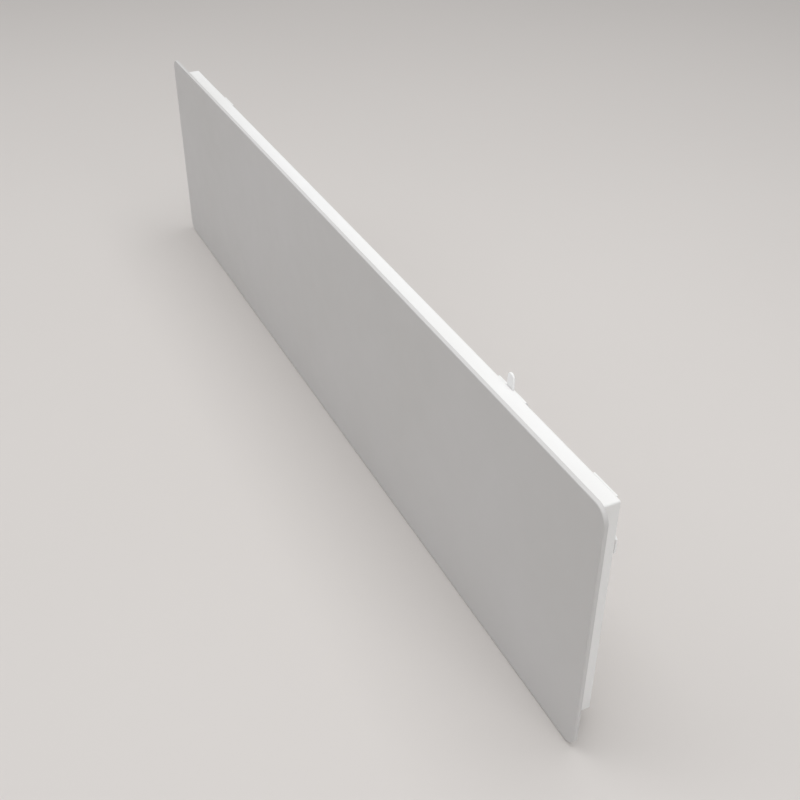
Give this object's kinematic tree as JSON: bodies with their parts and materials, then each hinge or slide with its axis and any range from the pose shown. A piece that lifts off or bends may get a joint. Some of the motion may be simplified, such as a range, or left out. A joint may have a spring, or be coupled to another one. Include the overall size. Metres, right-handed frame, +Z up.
{
  "type": "infrared panel heater",
  "caption": "Long, low wall-hung infrared panel heater: flat rounded front plate, shallow case behind it, hung on a wall rail with hook arms and a lock lever.",
  "frame": {"origin": "middle of the wall rail's back face, in the plane of the wall", "axes": "+X right along the heater as seen from the room, +Y into the wall, +Z up; the front plate faces -Y"},
  "size_m": [1.2, 0.061, 0.294],
  "materials": {
    "white_powder_coat": "matt fine-grained powder coat",
    "white_plastic": "moulded, fine satin texture",
    "black_plastic": "moulded, fine satin texture",
    "grey_plastic": "moulded, smooth",
    "zinc_steel": "bright zinc plate",
    "grey_rubber": "matt",
    "silicone": "matt sheet",
    "copper": "rolled strip",
    "foil": "bright rolled foil",
    "mineral_wool": "pressed fibre board",
    "brown_lead": "silicone insulation",
    "blue_lead": "silicone insulation",
    "green_lead": "silicone insulation"
  },
  "bodies": {
    "bracket": {"wall_rail": "white_powder_coat", "hook_arm_left": "white_powder_coat", "hook_arm_right": "white_powder_coat", "lock_arm": "white_powder_coat", "lock_pin": "zinc_steel", "arm_rivet_1": "zinc_steel", "arm_rivet_2": "zinc_steel", "arm_rivet_3": "zinc_steel", "arm_rivet_4": "zinc_steel", "arm_rivet_5": "zinc_steel", "arm_rivet_6": "zinc_steel"},
    "heater": {"front_plate": "white_powder_coat", "heating_mat": "silicone", "bus_strip_upper": "copper", "bus_strip_lower": "copper", "foil_sheet": "foil", "insulation_board": "mineral_wool", "case_gasket": "grey_rubber", "rear_case": "white_powder_coat", "case_post_1": "zinc_steel", "case_post_2": "zinc_steel", "case_post_3": "zinc_steel", "case_post_4": "zinc_steel", "case_post_5": "zinc_steel", "case_post_6": "zinc_steel", "case_screw_1": "zinc_steel", "case_screw_2": "zinc_steel", "case_screw_3": "zinc_steel", "case_screw_4": "zinc_steel", "case_screw_5": "zinc_steel", "case_screw_6": "zinc_steel", "connection_box": "white_plastic", "connection_lid": "white_plastic", "lid_screw_1": "zinc_steel", "lid_screw_2": "zinc_steel", "gland_body": "grey_plastic", "gland_nut": "grey_plastic", "gland_locknut": "grey_plastic", "switch_housing": "black_plastic", "terminal_block": "white_plastic", "earth_screw": "zinc_steel", "thermal_cutout_1": "black_plastic", "thermal_cutout_2": "black_plastic", "lead_live": "brown_lead", "lead_switched": "brown_lead", "lead_link": "brown_lead", "lead_mat": "brown_lead", "lead_neutral": "blue_lead", "lead_earth": "green_lead", "wall_spacer_left": "grey_rubber", "wall_spacer_right": "grey_rubber"},
    "lock": {"lock_lever": "white_plastic", "lock_spring": "zinc_steel"},
    "rocker": {"power_rocker": "black_plastic"}
  },
  "joints": [
    {"name": "heater_lift", "type": "slide", "parent": "bracket", "child": "heater", "axis": [0, 0, 1], "range_m": [0, 0.009]},
    {"name": "lock_release", "type": "hinge", "parent": "bracket", "child": "lock", "pos_m": [0.395, -0.0155, 0.038], "axis": [-1, 0, 0], "range_deg": [0, 18], "stiffness_Nm_per_rad": 0.04, "springref_deg": -14.32},
    {"name": "power_rocker", "type": "hinge", "parent": "heater", "child": "rocker", "pos_m": [0.5377, -0.017, -0.09], "axis": [0, 1, 0], "range_deg": [0, 14]}
  ],
  "couplings": [
    {"joint": "lock_release", "follows": "heater_lift", "rad_per_m": 34.906}
  ]
}
